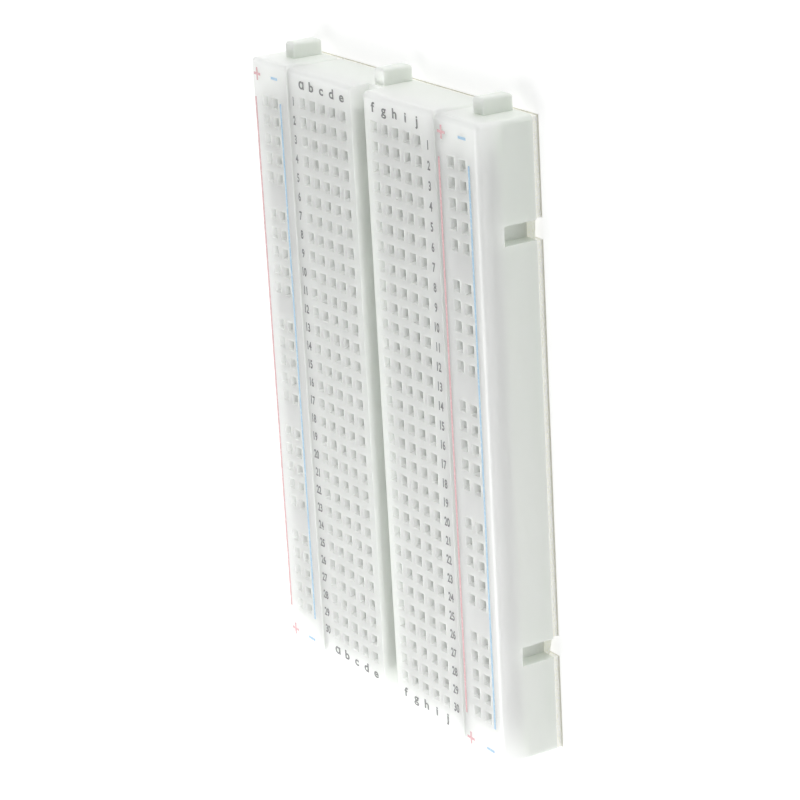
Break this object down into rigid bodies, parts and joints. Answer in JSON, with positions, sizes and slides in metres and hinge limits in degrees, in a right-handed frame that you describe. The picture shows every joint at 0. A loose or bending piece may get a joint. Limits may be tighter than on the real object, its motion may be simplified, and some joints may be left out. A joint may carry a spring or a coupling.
{
  "type": "solderless breadboard",
  "caption": "Plug-in prototyping board with a grid of spring-contact wire holes, a centre channel and a detachable power rail on each long side, on an adhesive back.",
  "frame": {"origin": "centre of the adhesive back: the middle of the terminal strip's release liner, on its outer face", "axes": "+Z out of the face with the wire holes; Y along the board with row 1 and the end pegs at +Y; X across it with column a and the side pegs at -X"},
  "size_m": [0.0567, 0.0841, 0.0088],
  "materials": {
    "housing_plastic": "milky off-white moulded thermoplastic, satin, slightly translucent",
    "contact_spring": "nickel-plated phosphor-bronze spring sheet",
    "adhesive_foam": "closed-cell foam tape, off-white, matte",
    "release_liner": "glassine release paper, faint sheen",
    "legend_ink_dark": "pad-printed ink",
    "legend_ink_red": "pad-printed ink",
    "legend_ink_blue": "pad-printed ink"
  },
  "bodies": {
    "terminal_strip": {"terminal_strip_housing": "housing_plastic", "terminal_strip_foam": "adhesive_foam", "terminal_strip_liner": "release_liner", "row_01_clips": "contact_spring", "row_02_clips": "contact_spring", "row_03_clips": "contact_spring", "row_04_clips": "contact_spring", "row_05_clips": "contact_spring", "row_06_clips": "contact_spring", "row_07_clips": "contact_spring", "row_08_clips": "contact_spring", "row_09_clips": "contact_spring", "row_10_clips": "contact_spring", "row_11_clips": "contact_spring", "row_12_clips": "contact_spring", "row_13_clips": "contact_spring", "row_14_clips": "contact_spring", "row_15_clips": "contact_spring", "row_16_clips": "contact_spring", "row_17_clips": "contact_spring", "row_18_clips": "contact_spring", "row_19_clips": "contact_spring", "row_20_clips": "contact_spring", "row_21_clips": "contact_spring", "row_22_clips": "contact_spring", "row_23_clips": "contact_spring", "row_24_clips": "contact_spring", "row_25_clips": "contact_spring", "row_26_clips": "contact_spring", "row_27_clips": "contact_spring", "row_28_clips": "contact_spring", "row_29_clips": "contact_spring", "row_30_clips": "contact_spring"},
    "left_rail": {"left_rail_housing": "housing_plastic", "left_rail_plus_clip": "contact_spring", "left_rail_minus_clip": "contact_spring", "left_rail_foam": "adhesive_foam", "left_rail_liner": "release_liner"},
    "right_rail": {"right_rail_housing": "housing_plastic", "right_rail_plus_clip": "contact_spring", "right_rail_minus_clip": "contact_spring", "right_rail_foam": "adhesive_foam", "right_rail_liner": "release_liner"}
  },
  "joints": [
    {"name": "terminal_strip_release", "type": "slide", "parent": "right_rail", "child": "terminal_strip", "axis": [0, 0, 1], "range_m": [0, 0.005]},
    {"name": "left_rail_release", "type": "slide", "parent": "terminal_strip", "child": "left_rail", "axis": [0, 0, 1], "range_m": [0, 0.005]}
  ]
}
